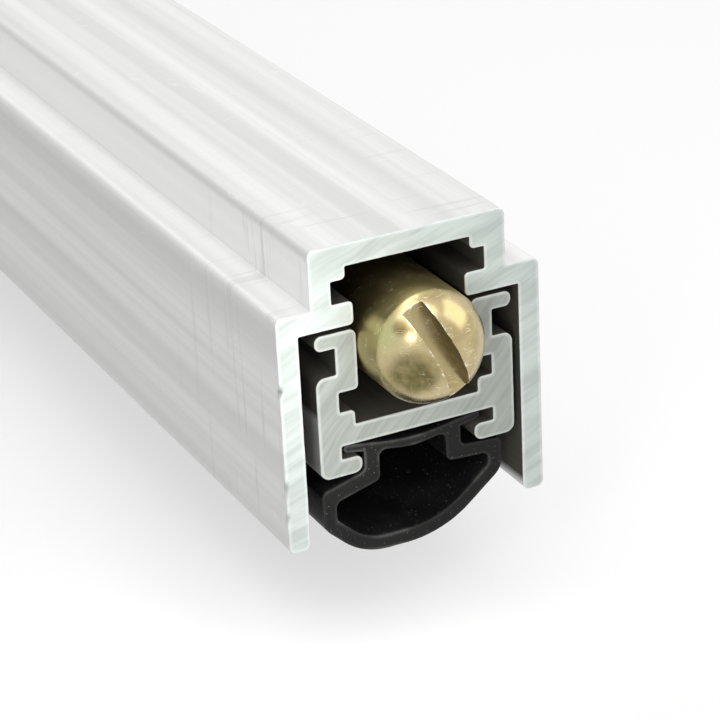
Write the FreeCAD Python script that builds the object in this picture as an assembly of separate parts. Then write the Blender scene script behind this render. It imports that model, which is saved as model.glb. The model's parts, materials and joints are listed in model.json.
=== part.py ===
import FreeCAD, Part
import math
import os

# Automatic door bottom seal, in millimetres.
# X runs along the seal with the plunger at +X, Z is up, and the origin is in the middle of the
# housing's top face, which seats in the groove under a door.

# Housing: an aluminium extrusion, a narrow head over a wider skirt with two legs
length = 330.0
housing_width = 20.0
housing_height = 21.9
head_width = 14.84
shoulder_drop = 4.3
wall = 1.6
rib_width = 1.1
rib_height = 0.92
slot_height = 1.68
outer_radius = 0.5
edge_radius = 0.35
corner_radius = 0.12

# Plunger: turned brass, with a domed end and a screwdriver slot
plunger_diameter = 8.2
plunger_axis_drop = 7.55
plunger_reach = 2.7
plunger_length = 22.0
dome_height = 3.1
cut_width = 1.6
cut_floor = 0.65
cut_angle = 24.0
plunger_bore_depth = 16.0
plunger_chamfer = 0.4

# Motion: pressing the plunger by its travel lowers the seal by its drop
plunger_travel = 4.2
seal_drop = 8.0

# Drop bar: an aluminium H-shaped extrusion that hangs in the skirt
rest_gap = 0.35
side_gap = 0.85
drop_lip_inset = 0.05
drop_lip_thickness = 1.1
arm_wall = 1.6
neck_height = 2.0
body_wall = 1.65
shelf_thickness = 1.35
lower_slot_height = 1.5
lower_rib_height = 1.1
lower_rib_width = 1.15
web_thickness = 1.45
hook_slot_height = 1.0
hook_thickness = 1.25
hook_length = 1.52
foot_radius = 0.7

# Seal: a hollow rubber bulb that hangs by a strip in the drop bar's hooks, a little askew
seal_recess = 0.5
strip_thickness = 0.6
strip_sag = 0.85
strip_sag_radius = 14.0
bulb_inset = 0.525
bulb_shift = -0.07
bulb_wall = 1.05
bulb_depth = 6.75
bulb_flat = 6.3
bulb_flat_shift = -1.0
bulb_right_side = 2.6
bulb_left_side = 3.7
bulb_side_radius = 1.5
bulb_bottom_radius = 8.0
shelf_wall = 0.95
right_shelf_fall = 0.2
left_shelf_fall = 0.95
seal_neck_gap = 0.62
seal_neck_wall = 1.15
seal_corner_radius = 0.5

# Slide gear: flat bar in the T-slot, block under it, rod, washer and return spring
slide_block_setback = 30.0
slide_block_length = 12.0
block_half_height = 3.4
rod_radius = 2.0
thread_radius = 2.5
cross_pin_radius = 0.75
cross_pin_setback = 3.0
rod_end_gap = 1.2
rivet_radius = 0.75
rivet_offset = 3.0
rivet_setback = 9.0
rivet_head_radius = 1.4
rivet_head_height = 0.55
washer_thickness = 0.8
spring_length = 19.2
spring_wire_radius = 0.35
spring_gap = 0.45
spring_turns = 8
spring_block_length = 10.0
bar_tail = 6.0

# Levers: a short finger up into the slide bar and a long arm to the drop bar
lever_setback = 91.0
lever_spacing = 150.0
pivot_drop = 10.4
pivot_radius = 1.0
lever_thickness = 3.0
hub_radius = 2.2
finger_width = 1.6
finger_tip_radius = 1.0
eye_radius = 1.6
drop_pin_radius = 0.8

# Brackets that carry the levers, and shoes in the drop bar's lower slot
bracket_front = 4.8
bracket_length = 8.6
bracket_base_height = 2.6
bracket_hub_margin = 0.2
boss_width = 5.6
boss_length = 7.0
shoe_length = 12.6
shoe_screw_offset = 4.3
lug_length = 4.6
lug_top_wall = 0.7

# Countersunk screws
screw_radius = 1.45
screw_head_radius = 2.8
screw_length = 5.0
shoe_screw_length = 3.7
recess_width = 0.7
recess_length = 2.6
recess_depth = 0.8

# Clearances
fit_clearance = 0.02
running_clearance = 0.05
slide_clearance = 0.09
guide_clearance = 0.15
arm_clearance = 0.3
block_clearance = 0.2
lever_clearance = 0.3
window_clearance = 0.4
pin_slot_clearance = 0.1
screw_clearance = 0.05
seat_clearance = 0.05

# Levels and half-widths that follow from the sizes above
end_x = length / 2
head_half = head_width / 2
slot_half = head_half - wall
leg_inner = housing_width / 2 - wall
lip_half = plunger_diameter / 2 + guide_clearance
ceiling_z = -wall
rib_z = ceiling_z - rib_height
slot_floor_z = rib_z - slot_height
shoulder_z = -shoulder_drop
underside_z = shoulder_z - wall

arm_inner = plunger_diameter / 2 + arm_clearance
arm_outer = arm_inner + arm_wall
body_half = leg_inner - side_gap
drop_lip_half = body_half - drop_lip_inset
bulb_half = body_half - bulb_inset
groove_half = body_half - body_wall
lower_rib_inner = groove_half - lower_rib_width
hook_tip = groove_half - hook_length
drop_top_z = underside_z - rest_gap
lip_bottom_z = drop_top_z - drop_lip_thickness
shelf_z = lip_bottom_z - neck_height
step_z = shelf_z - shelf_thickness
lower_rib_z = step_z - lower_slot_height
web_top_z = lower_rib_z - lower_rib_height
web_under_z = web_top_z - web_thickness
hook_top_z = web_under_z - hook_slot_height
drop_bottom_z = hook_top_z - hook_thickness

# The drop bar hangs loosely, to one side until an arm all but touches the plunger
hang_shift = arm_clearance - running_clearance

axis_z = -plunger_axis_drop
bar_top_z = rib_z - slide_clearance
bar_under_z = slot_floor_z + slide_clearance
bar_half = slot_half - guide_clearance
block_half = lip_half - block_clearance
fixed_top_z = bar_under_z - block_clearance

slide_block_front = end_x - slide_block_setback
slide_block_back = slide_block_front - slide_block_length
spring_front = slide_block_back - washer_thickness
spring_back = spring_front - spring_length
spring_block_back = spring_back - spring_block_length

# Lever geometry: the finger and the arm stand square to each other and swing evenly about the middle
pivot_z = -pivot_drop
finger_length = (bar_top_z + bar_under_z) / 2 - pivot_z
half_swing = math.asin(plunger_travel / 2 / finger_length)
arm_length = finger_length * seal_drop / plunger_travel
pin_shift = arm_length * (1 - math.cos(half_swing)) / 2
shoe_offset = arm_length - pin_shift
shoe_slot_z = pivot_z + seal_drop / 2
front_pivot_x = end_x - lever_setback
rear_pivot_x = front_pivot_x - lever_spacing

V = FreeCAD.Vector
ALONG = V(1, 0, 0)
ACROSS = V(0, 1, 0)
UP = V(0, 0, 1)
CORNER_SHARE = 0.49


def across_plane(y, z):
    return V(0, y, z)


def side_plane(x, z):
    return V(x, 0, z)


def rounded_face(corners, plane):
    """Face through (a, b, radius) corners in a plane, each corner turned by a tangent arc."""
    edges = []
    first = None
    last = None
    for index, (a, b, radius) in enumerate(corners):
        here = plane(a, b)
        to_last = plane(*corners[index - 1][:2]) - here
        to_next = plane(*corners[(index + 1) % len(corners)][:2]) - here
        half_angle = to_last.getAngle(to_next) / 2
        reach = min(radius / math.tan(half_angle), CORNER_SHARE * min(to_last.Length, to_next.Length))
        turn = reach * math.tan(half_angle)
        to_last.normalize()
        to_next.normalize()
        inward = (to_last + to_next).normalize()
        start = here + to_last * reach
        middle = here + inward * (turn / math.sin(half_angle) - turn)
        end = here + to_next * reach
        if last is not None:
            edges.append(Part.LineSegment(last, start).toShape())
        edges.append(Part.Arc(start, middle, end).toShape())
        if first is None:
            first = start
        last = end
    edges.append(Part.LineSegment(last, first).toShape())
    return Part.Face(Part.Wire(edges))


def mirrored(half):
    """Whole outline from its half on the +Y side."""
    return half + [(-y, z, radius) for y, z, radius in reversed(half)]


def extrusion(corners, start_x, end):
    """Solid of a cross-section between two places along X."""
    face = rounded_face(corners, across_plane)
    face.translate(V(start_x, 0, 0))
    return face.extrude(ALONG * (end - start_x))


def block(back, front, half_width, bottom, top):
    """Box that is centred on the middle plane."""
    return Part.makeBox(front - back, 2 * half_width, top - bottom, V(back, -half_width, bottom))


def along(back, front, radius):
    """Cylinder on the plunger's axis."""
    return Part.makeCylinder(radius, front - back, V(back, 0, axis_z), ALONG)


def across(x, z, radius, half_width):
    """Cylinder across the seal."""
    return Part.makeCylinder(radius, 2 * half_width, V(x, -half_width, z), ACROSS)


def upright(x, y, radius, bottom, top):
    """Vertical cylinder."""
    return Part.makeCylinder(radius, top - bottom, V(x, y, bottom), UP)


def countersunk(x, face_z, direction, shank, head, depth):
    """Countersunk form whose head lies in a level face and whose shank goes in along Z."""
    into = UP * direction
    seat = V(x, 0, face_z)
    cone = Part.makeCone(head, shank, head - shank, seat, into)
    return cone.fuse(Part.makeCylinder(shank, depth, seat, into)).removeSplitter()


def screw(x, face_z, direction, depth):
    """Countersunk screw with a cross recess in its head."""
    solid = countersunk(x, face_z, direction, screw_radius, screw_head_radius, depth)
    low = min(face_z, face_z + direction * recess_depth)
    high = low + recess_depth
    slot = block(x - recess_length / 2, x + recess_length / 2, recess_width / 2, low, high)
    cross = block(x - recess_width / 2, x + recess_width / 2, recess_length / 2, low, high)
    return solid.cut(slot.fuse(cross))


def screw_hole(x, face_z, direction, depth):
    """Clearance hole for a countersunk screw."""
    shank = screw_radius + screw_clearance
    head = screw_head_radius + screw_clearance
    return countersunk(x, face_z, direction, shank, head, depth)


def boss_centre(fixed_back, fixed_length):
    return fixed_back + fixed_length / 2


def top_screw_places():
    """Where the screws go down through the housing's top into what hangs under it."""
    places = [boss_centre(spring_block_back, spring_block_length)]
    for pivot_x in (front_pivot_x, rear_pivot_x):
        places.append(boss_centre(pivot_x + bracket_front, bracket_length))
    return places


def shoe_places():
    return [front_pivot_x - shoe_offset, rear_pivot_x - shoe_offset]


def shoe_screw_places():
    return [x + side * shoe_screw_offset for x in shoe_places() for side in (-1, 1)]


def make_housing():
    half = [
        (head_half, 0, outer_radius),
        (head_half, shoulder_z, corner_radius),
        (housing_width / 2, shoulder_z, outer_radius),
        (housing_width / 2, -housing_height, outer_radius),
        (leg_inner, -housing_height, outer_radius),
        (leg_inner, underside_z, corner_radius),
        (lip_half, underside_z, edge_radius),
        (lip_half, slot_floor_z, edge_radius),
        (slot_half, slot_floor_z, corner_radius),
        (slot_half, rib_z, corner_radius),
        (slot_half - rib_width, rib_z, edge_radius),
        (slot_half - rib_width, ceiling_z, corner_radius),
    ]
    solid = extrusion(mirrored(half), -end_x, end_x)
    for x in top_screw_places():
        solid = solid.cut(screw_hole(x, 0, -1, wall))
    return solid


def make_drop_bar():
    half = [
        (lower_rib_inner, web_top_z, corner_radius),
        (lower_rib_inner, lower_rib_z, edge_radius),
        (groove_half, lower_rib_z, corner_radius),
        (groove_half, step_z, corner_radius),
        (arm_inner, step_z, edge_radius),
        (arm_inner, drop_top_z, outer_radius),
        (drop_lip_half, drop_top_z, outer_radius),
        (drop_lip_half, lip_bottom_z, outer_radius),
        (arm_outer, lip_bottom_z, corner_radius),
        (arm_outer, shelf_z, corner_radius),
        (body_half, shelf_z, foot_radius),
        (body_half, drop_bottom_z, foot_radius),
        (hook_tip, drop_bottom_z, foot_radius),
        (hook_tip, hook_top_z, outer_radius),
        (groove_half, hook_top_z, corner_radius),
        (groove_half, web_under_z, corner_radius),
    ]
    solid = extrusion(mirrored(half), -end_x, end_x)
    for x in shoe_screw_places():
        solid = solid.cut(screw_hole(x, web_under_z, 1, web_thickness))
    return solid


def inset(before, here, after, distance):
    """Corner of an outline that runs clockwise, moved inwards by a distance."""
    first = V(here[0] - before[0], here[1] - before[1], 0).normalize()
    second = V(after[0] - here[0], after[1] - here[1], 0).normalize()
    inwards = V(first.y, -first.x, 0) + V(second.y, -second.x, 0)
    scale = distance / (1 + first.dot(second))
    return (here[0] + inwards.x * scale, here[1] + inwards.y * scale)


def make_seal():
    right = bulb_shift + bulb_half
    left = bulb_shift - bulb_half
    slot_middle = (web_under_z + hook_top_z) / 2
    strip_top = slot_middle + strip_thickness / 2
    strip_under = slot_middle - strip_thickness / 2
    strip_end = groove_half - seal_neck_gap
    neck = hook_tip - seal_neck_gap
    neck_inner = neck - seal_neck_wall
    fall = strip_sag / strip_end
    shelf_top = drop_bottom_z - arm_clearance
    right_shelf = shelf_top - right_shelf_fall
    left_shelf = shelf_top - left_shelf_fall
    bottom = drop_bottom_z - bulb_depth
    flat_right = bulb_flat_shift + bulb_flat / 2
    flat_left = bulb_flat_shift - bulb_flat / 2

    shoulder_right = (right, right_shelf)
    side_right = (right, shelf_top - bulb_right_side)
    bottom_right = (flat_right, bottom)
    bottom_left = (flat_left, bottom)
    side_left = (left, shelf_top - bulb_left_side)
    shoulder_left = (left, left_shelf)

    small = seal_corner_radius
    outer = [
        (-strip_end, strip_top, strip_thickness / 2),
        (0, strip_top - strip_sag, strip_sag_radius),
        (strip_end, strip_top, strip_thickness / 2),
        (strip_end, strip_under, strip_thickness / 2),
        (neck, strip_under - fall * (strip_end - neck), corner_radius),
        (neck, shelf_top, small),
        (*shoulder_right, small),
        (*side_right, bulb_side_radius),
        (*bottom_right, bulb_bottom_radius),
        (*bottom_left, bulb_bottom_radius),
        (*side_left, bulb_side_radius),
        (*shoulder_left, small),
        (-neck, shelf_top, small),
        (-neck, strip_under - fall * (strip_end - neck), corner_radius),
        (-strip_end, strip_under, strip_thickness / 2),
    ]
    inner_side_right = inset(shoulder_right, side_right, bottom_right, bulb_wall)
    inner_bottom_right = inset(side_right, bottom_right, bottom_left, bulb_wall)
    inner_bottom_left = inset(bottom_right, bottom_left, side_left, bulb_wall)
    inner_side_left = inset(bottom_left, side_left, shoulder_left, bulb_wall)
    inner_strip = strip_under - fall * (strip_end - neck_inner)
    hollow = [
        (-neck_inner, inner_strip, small),
        (0, strip_under - strip_sag, strip_sag_radius),
        (neck_inner, inner_strip, small),
        (neck_inner, shelf_top - shelf_wall, small),
        (right - bulb_wall, right_shelf - shelf_wall, small),
        (*inner_side_right, bulb_side_radius - bulb_wall),
        (*inner_bottom_right, bulb_bottom_radius - bulb_wall),
        (*inner_bottom_left, bulb_bottom_radius - bulb_wall),
        (*inner_side_left, bulb_side_radius - bulb_wall),
        (left + bulb_wall, left_shelf - shelf_wall, small),
        (-neck_inner, shelf_top - shelf_wall, small),
    ]
    back = seal_recess - end_x
    front = end_x - seal_recess
    return extrusion(outer, back, front).cut(extrusion(hollow, back, front))


def make_plunger():
    radius = plunger_diameter / 2
    dome_base = end_x + plunger_reach
    back = dome_base - plunger_length
    ball_radius = (radius ** 2 + dome_height ** 2) / (2 * dome_height)
    ball_x = dome_base + dome_height - ball_radius
    barrel = along(back, dome_base, radius)
    back_edges = [edge for edge in barrel.Edges if edge.BoundBox.XMax < end_x]
    barrel = barrel.makeChamfer(plunger_chamfer, back_edges)
    ball = Part.makeSphere(ball_radius, V(ball_x, 0, axis_z), ALONG)
    dome = ball.common(along(dome_base, dome_base + ball_radius, radius))
    solid = barrel.fuse(dome).removeSplitter()
    solid = solid.cut(along(back, back + plunger_bore_depth, thread_radius + running_clearance))
    floor_x = dome_base + cut_floor
    cut = block(floor_x, floor_x + dome_height, cut_width / 2, axis_z - radius, axis_z + radius)
    cut.rotate(V(0, 0, axis_z), ALONG, cut_angle)
    return solid.cut(cut)


def make_push_rod():
    tip = end_x + plunger_reach - plunger_length + plunger_bore_depth - rod_end_gap
    tail = spring_back - spring_block_length / 2
    solid = along(slide_block_front, tip, thread_radius).fuse(along(tail, slide_block_front, rod_radius))
    return solid.cut(make_cross_pin_bore())


def cross_pin_x():
    return slide_block_front - cross_pin_setback


def make_cross_pin_bore():
    return across(cross_pin_x(), axis_z, cross_pin_radius + fit_clearance, block_half)


def make_rod_cross_pin():
    return across(cross_pin_x(), axis_z, cross_pin_radius, block_half)


def rivet_x():
    return slide_block_front - rivet_setback


def make_slide_block():
    solid = block(slide_block_back, slide_block_front, block_half, axis_z - block_half_height, bar_under_z)
    solid = solid.cut(along(slide_block_back, slide_block_front, rod_radius + fit_clearance))
    solid = solid.cut(make_cross_pin_bore())
    for side in (-1, 1):
        bore = upright(rivet_x(), side * rivet_offset, rivet_radius + fit_clearance, -housing_height, 0)
        solid = solid.cut(bore)
    return solid


def make_slide_rivets():
    bottom = axis_z - block_half_height
    rivets = []
    for side in (-1, 1):
        y = side * rivet_offset
        shank = upright(rivet_x(), y, rivet_radius, bottom, bar_top_z)
        head = upright(rivet_x(), y, rivet_head_radius, bar_top_z, bar_top_z + rivet_head_height)
        tail = upright(rivet_x(), y, rivet_radius + fit_clearance, bottom - rivet_head_height, bottom)
        rivets.append(shank.fuse([head, tail]).removeSplitter())
    return Part.makeCompound(rivets)


def make_slide_bar():
    tail = rear_pivot_x - bar_tail
    solid = block(tail, slide_block_front, bar_half, bar_under_z, bar_top_z)
    for side in (-1, 1):
        bore = upright(rivet_x(), side * rivet_offset, rivet_radius + fit_clearance, bar_under_z, bar_top_z)
        solid = solid.cut(bore)
    for x in top_screw_places():
        back = x - boss_length / 2 - window_clearance
        front = x + boss_length / 2 + plunger_travel + window_clearance
        window = block(back, front, boss_width / 2 + window_clearance, bar_under_z, bar_top_z)
        solid = solid.cut(window)
    half_slot = finger_tip_radius + running_clearance
    for pivot_x in (front_pivot_x, rear_pivot_x):
        x = pivot_x + plunger_travel / 2
        half_width = lever_thickness / 2 + lever_clearance
        solid = solid.cut(block(x - half_slot, x + half_slot, half_width, bar_under_z, bar_top_z))
    return solid


def make_spring_washer():
    ring = along(spring_front, slide_block_back, spring_outer_radius())
    return ring.cut(along(spring_front, slide_block_back, rod_radius + running_clearance))


def spring_outer_radius():
    return rod_radius + spring_gap + 2 * spring_wire_radius


def make_return_spring():
    """Coil of tilted half rings, which meet along their tangents at the top and the bottom."""
    coil_radius = rod_radius + spring_gap + spring_wire_radius
    end_gap = spring_wire_radius + seat_clearance
    half_pitch = (spring_length - 2 * end_gap) / (2 * spring_turns)
    halves = []
    for index in range(2 * spring_turns):
        side = 1 - 2 * (index % 2)
        start = V(spring_back + end_gap + index * half_pitch, 0, axis_z + side * coil_radius)
        middle = V(start.x + half_pitch / 2, 0, axis_z)
        wire = Part.Wire(Part.Circle(start, ACROSS, spring_wire_radius).toShape())
        turn_axis = (start - middle).cross(ACROSS * side)
        halves.append(Part.Face(wire).revolve(middle, turn_axis, 180))
    return halves[0].fuse(halves[1:]).removeSplitter()


def hang(solid, x):
    """Adds the boss that reaches up through the slide bar to the housing, with its screw hole."""
    boss = block(x - boss_length / 2, x + boss_length / 2, boss_width / 2, fixed_top_z, ceiling_z)
    solid = solid.fuse(boss).removeSplitter()
    return solid.cut(upright(x, 0, screw_radius + fit_clearance, -screw_length - seat_clearance, 0))


def make_spring_block():
    solid = block(spring_block_back, spring_back, block_half, axis_z - block_half_height, fixed_top_z)
    solid = hang(solid, boss_centre(spring_block_back, spring_block_length))
    return solid.cut(along(spring_block_back, spring_back, rod_radius + running_clearance))


def make_bracket(pivot_x):
    hub = hub_radius + bracket_hub_margin
    back = pivot_x + bracket_front + bracket_length
    base = fixed_top_z - bracket_base_height
    side = [
        (pivot_x - hub, fixed_top_z, corner_radius),
        (back, fixed_top_z, corner_radius),
        (back, base, outer_radius),
        (pivot_x + hub, pivot_z - hub, outer_radius),
        (pivot_x - hub, pivot_z - hub, hub),
    ]
    face = rounded_face(side, side_plane)
    face.translate(ACROSS * -block_half)
    solid = face.extrude(ACROSS * 2 * block_half)
    half_slot = lever_thickness / 2 + lever_clearance
    slot = block(pivot_x - hub, pivot_x + bracket_front, half_slot, pivot_z - hub, fixed_top_z)
    solid = hang(solid.cut(slot), boss_centre(pivot_x + bracket_front, bracket_length))
    return solid.cut(across(pivot_x, pivot_z, pivot_radius + fit_clearance, block_half))


def make_pivot_pin(pivot_x):
    return across(pivot_x, pivot_z, pivot_radius, block_half)


def turned_to_rest(solid, pivot_x):
    """Turns a lever piece from the middle of its swing to its rest position."""
    solid.rotate(V(pivot_x, 0, pivot_z), ACROSS, math.degrees(half_swing))
    return solid


def make_lever(pivot_x):
    half = lever_thickness / 2
    eye_x = pivot_x - arm_length
    hub = across(pivot_x, pivot_z, hub_radius, half)
    eye = across(eye_x, pivot_z, eye_radius, half)
    lean = math.asin((hub_radius - eye_radius) / arm_length)
    side = math.cos(lean)
    drift = math.sin(lean)
    arm = [
        V(pivot_x - hub_radius * drift, -half, pivot_z + hub_radius * side),
        V(eye_x - eye_radius * drift, -half, pivot_z + eye_radius * side),
        V(eye_x - eye_radius * drift, -half, pivot_z - eye_radius * side),
        V(pivot_x - hub_radius * drift, -half, pivot_z - hub_radius * side),
    ]
    arm = Part.Face(Part.makePolygon(arm + arm[:1])).extrude(ACROSS * lever_thickness)
    tip_z = pivot_z + finger_length
    finger = block(pivot_x - finger_width / 2, pivot_x + finger_width / 2, half, pivot_z, tip_z)
    tip = across(pivot_x, tip_z, finger_tip_radius, half)
    solid = hub.fuse([eye, arm, finger, tip]).removeSplitter()
    solid = solid.cut(across(pivot_x, pivot_z, pivot_radius + running_clearance, half))
    solid = solid.cut(across(eye_x, pivot_z, drop_pin_radius + fit_clearance, half))
    return turned_to_rest(solid, pivot_x)


def make_drop_pin(pivot_x):
    return turned_to_rest(across(pivot_x - arm_length, pivot_z, drop_pin_radius, block_half), pivot_x)


def aside(solid):
    """Moves a piece of the drop bar to where the bar hangs."""
    solid.translate(ACROSS * hang_shift)
    return solid


def make_shoe(pivot_x):
    x = pivot_x - shoe_offset
    plate_bottom = lower_rib_z + seat_clearance
    plate_top = step_z - seat_clearance
    plate_half = groove_half - guide_clearance
    half_slot = drop_pin_radius + pin_slot_clearance
    lug_top = shoe_slot_z + half_slot + lug_top_wall
    plate = block(x - shoe_length / 2, x + shoe_length / 2, plate_half, plate_bottom, plate_top)
    lug_half = block_half - hang_shift
    lugs = block(x - lug_length / 2, x + lug_length / 2, lug_half, plate_top, lug_top)
    gap = lever_thickness / 2 + running_clearance + hang_shift
    lugs = lugs.cut(block(x - lug_length / 2, x + lug_length / 2, gap, plate_top, lug_top))
    solid = plate.fuse(lugs).removeSplitter()
    slot_low = shoe_slot_z - half_slot
    slot = block(x - pin_shift, x + pin_shift, block_half, slot_low, slot_low + 2 * half_slot)
    for side in (-1, 1):
        slot = slot.fuse(across(x + side * pin_shift, shoe_slot_z, half_slot, block_half))
    solid = solid.cut(slot)
    for side in (-1, 1):
        bore = upright(x + side * shoe_screw_offset, 0, screw_radius + fit_clearance, plate_bottom, plate_top)
        solid = solid.cut(bore)
    return solid


def make_top_screws():
    return Part.makeCompound([screw(x, 0, -1, screw_length) for x in top_screw_places()])


def make_shoe_screws():
    return Part.makeCompound([screw(x, web_under_z, 1, shoe_screw_length) for x in shoe_screw_places()])


nodes = {
    "housing": make_housing(),
    "top_screws": make_top_screws(),
    "spring_block": make_spring_block(),
    "slide_bar": make_slide_bar(),
    "slide_block": make_slide_block(),
    "slide_rivets": make_slide_rivets(),
    "push_rod": make_push_rod(),
    "rod_cross_pin": make_rod_cross_pin(),
    "spring_washer": make_spring_washer(),
    "return_spring": make_return_spring(),
    "plunger": make_plunger(),
    "drop_bar": aside(make_drop_bar()),
    "seal": make_seal(),
    "shoe_screws": aside(make_shoe_screws()),
}
for place, pivot_x in (("front", front_pivot_x), ("rear", rear_pivot_x)):
    nodes[place + "_bracket"] = make_bracket(pivot_x)
    nodes[place + "_pivot_pin"] = make_pivot_pin(pivot_x)
    nodes[place + "_lever"] = make_lever(pivot_x)
    nodes[place + "_drop_pin"] = make_drop_pin(pivot_x)
    nodes[place + "_shoe"] = aside(make_shoe(pivot_x))

os.makedirs("parts", exist_ok=True)
for name, shape in nodes.items():
    shape.exportStep("parts/" + name + ".step")
    state = "valid" if shape.isValid() else "NOT VALID"
    print(name, len(shape.Solids), "solid", round(shape.Volume, 2), "mm3", state)
print("lever swing", math.degrees(2 * half_swing), "deg, pivots", front_pivot_x, rear_pivot_x, pivot_z)
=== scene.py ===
# %% [markdown]
# # Automatic door bottom seal
# An aluminium housing is let into the lower edge of a door. A brass plunger in its end is pressed by
# the door frame when the door shuts, and a bar with a rubber bulb then drops to the floor.
# The measured solids come in as a fixed frame. They stay where they are, and this script dresses them.

# %% Load the frame
import json
import math

import bmesh
import bpy
from mathutils import Matrix, Vector, noise


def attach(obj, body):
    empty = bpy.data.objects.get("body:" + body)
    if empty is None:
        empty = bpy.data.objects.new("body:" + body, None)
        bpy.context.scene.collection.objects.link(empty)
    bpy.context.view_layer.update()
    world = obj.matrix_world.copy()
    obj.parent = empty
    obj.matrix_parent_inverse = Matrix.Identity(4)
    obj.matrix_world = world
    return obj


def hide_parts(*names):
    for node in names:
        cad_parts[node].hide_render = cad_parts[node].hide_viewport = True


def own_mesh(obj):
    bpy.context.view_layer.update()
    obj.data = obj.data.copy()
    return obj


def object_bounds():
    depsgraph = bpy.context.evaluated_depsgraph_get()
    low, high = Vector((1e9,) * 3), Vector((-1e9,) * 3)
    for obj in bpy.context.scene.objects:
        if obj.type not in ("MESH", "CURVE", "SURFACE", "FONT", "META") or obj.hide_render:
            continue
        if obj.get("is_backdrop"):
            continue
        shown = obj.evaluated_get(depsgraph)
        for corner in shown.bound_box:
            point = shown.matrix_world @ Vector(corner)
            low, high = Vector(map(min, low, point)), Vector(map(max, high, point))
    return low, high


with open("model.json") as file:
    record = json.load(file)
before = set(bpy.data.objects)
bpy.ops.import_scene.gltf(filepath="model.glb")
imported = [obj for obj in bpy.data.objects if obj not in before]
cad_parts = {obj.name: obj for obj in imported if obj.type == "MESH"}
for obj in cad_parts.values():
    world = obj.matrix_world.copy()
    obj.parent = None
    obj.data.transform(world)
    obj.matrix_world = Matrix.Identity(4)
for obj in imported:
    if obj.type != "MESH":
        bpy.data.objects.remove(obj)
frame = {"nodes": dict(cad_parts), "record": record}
solid_low, solid_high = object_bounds()
MM = 0.001
END = 165.0
SEAL_INSET = 0.5

# %% [markdown]
# ## Camera
# The view is a close one of the plunger's end, from above and to the left, with a long lens.
# Right, up and back are the camera's own axes in the part's frame, so no aiming helper is needed.

# %% Camera
def add_camera():
    lens = bpy.data.cameras.new("photo_view")
    lens.lens = 137.85
    lens.sensor_width = 36.0
    lens.clip_start = 0.01
    lens.clip_end = 20.0
    camera = bpy.data.objects.new("photo_view", lens)
    right = Vector((0.445452, 0.894038, -0.047629))
    up = Vector((-0.355315, 0.225363, 0.907173))
    back = Vector((0.821781, -0.387179, 0.418054))
    place = Matrix((right, up, back)).transposed().to_4x4()
    place.translation = Vector((0.317809, -0.075937, 0.069104))
    camera.matrix_world = place
    bpy.context.scene.collection.objects.link(camera)
    bpy.context.scene.camera = camera
    return camera


camera = add_camera()
bpy.context.scene.view_settings.view_transform = "Standard"
print("camera at", [round(v, 4) for v in camera.location])

# %% [markdown]
# ## Node helpers
# Materials here are all built from nodes. Small helpers keep each tree short: one adds a node and fills
# its sockets with values or links, and others start a material or a group and give common steps.

# %% Node helpers
def add_node(tree, kind, inputs=None, **settings):
    """Adds a node, sets its options, and fills its sockets with values or links."""
    made = tree.nodes.new(kind)
    for option, value in settings.items():
        setattr(made, option, value)
    for socket, value in (inputs or {}).items():
        if isinstance(value, bpy.types.NodeSocket):
            tree.links.new(value, made.inputs[socket])
        else:
            made.inputs[socket].default_value = value
    return made


def sum_of(tree, operation, first, second, clamp=False):
    """One step of arithmetic on two values."""
    return add_node(tree, "ShaderNodeMath", {0: first, 1: second}, operation=operation, use_clamp=clamp).outputs[0]


def ramp(tree, value, low, high, to_low=0.0, to_high=1.0):
    """Smooth step of a value between two limits."""
    inputs = {"Value": value, "From Min": low, "From Max": high, "To Min": to_low, "To Max": to_high}
    return add_node(tree, "ShaderNodeMapRange", inputs, interpolation_type="SMOOTHSTEP").outputs["Result"]


def mix_colour(tree, factor, first, second, blend="MIX"):
    made = add_node(tree, "ShaderNodeMix", data_type="RGBA", blend_type=blend)
    for socket, value in ((0, factor), (6, first), (7, second)):
        if isinstance(value, bpy.types.NodeSocket):
            tree.links.new(value, made.inputs[socket])
        else:
            made.inputs[socket].default_value = value
    return made.outputs[2]


def stretched(tree, vector, scale, turn=(0, 0, 0)):
    """Coordinates that are turned and stretched, for marks with a direction."""
    inputs = {"Vector": vector, "Scale": scale, "Rotation": [math.radians(a) for a in turn]}
    return add_node(tree, "ShaderNodeMapping", inputs, vector_type="POINT").outputs[0]


def grain(tree, vector, scale=1.0, detail=2.0, roughness=0.5):
    inputs = {"Vector": vector, "Scale": scale, "Detail": detail, "Roughness": roughness}
    return add_node(tree, "ShaderNodeTexNoise", inputs).outputs[0]


def start_material(name):
    material = bpy.data.materials.new(name)
    material.use_nodes = True
    tree = material.node_tree
    shader = tree.nodes["Principled BSDF"]
    place = add_node(tree, "ShaderNodeTexCoord").outputs["Object"]
    return material, tree, shader, place


def start_group(name, inputs, outputs):
    """Starts a shader node group with named value sockets."""
    group = bpy.data.node_groups.new(name, "ShaderNodeTree")
    for socket, kind, value in inputs:
        made = group.interface.new_socket(socket, in_out="INPUT", socket_type=kind)
        if value is not None:
            made.default_value = value
    for socket, kind in outputs:
        group.interface.new_socket(socket, in_out="OUTPUT", socket_type=kind)
    source = group.nodes.new("NodeGroupInput").outputs
    result = group.nodes.new("NodeGroupOutput").inputs
    return group, source, result


def use_group(tree, group, inputs):
    return add_node(tree, "ShaderNodeGroup", inputs, node_tree=group).outputs


print("helpers ready")

# %% [markdown]
# ## Stage
# The part is held by a door, so it floats over the floor by the distance that its seal drops.
# The floor and the world look white to the camera and in reflections, and the lamps are large and soft.
# Cards are small lamps: the back one shows in reflections only, and the front one casts light only.

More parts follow.
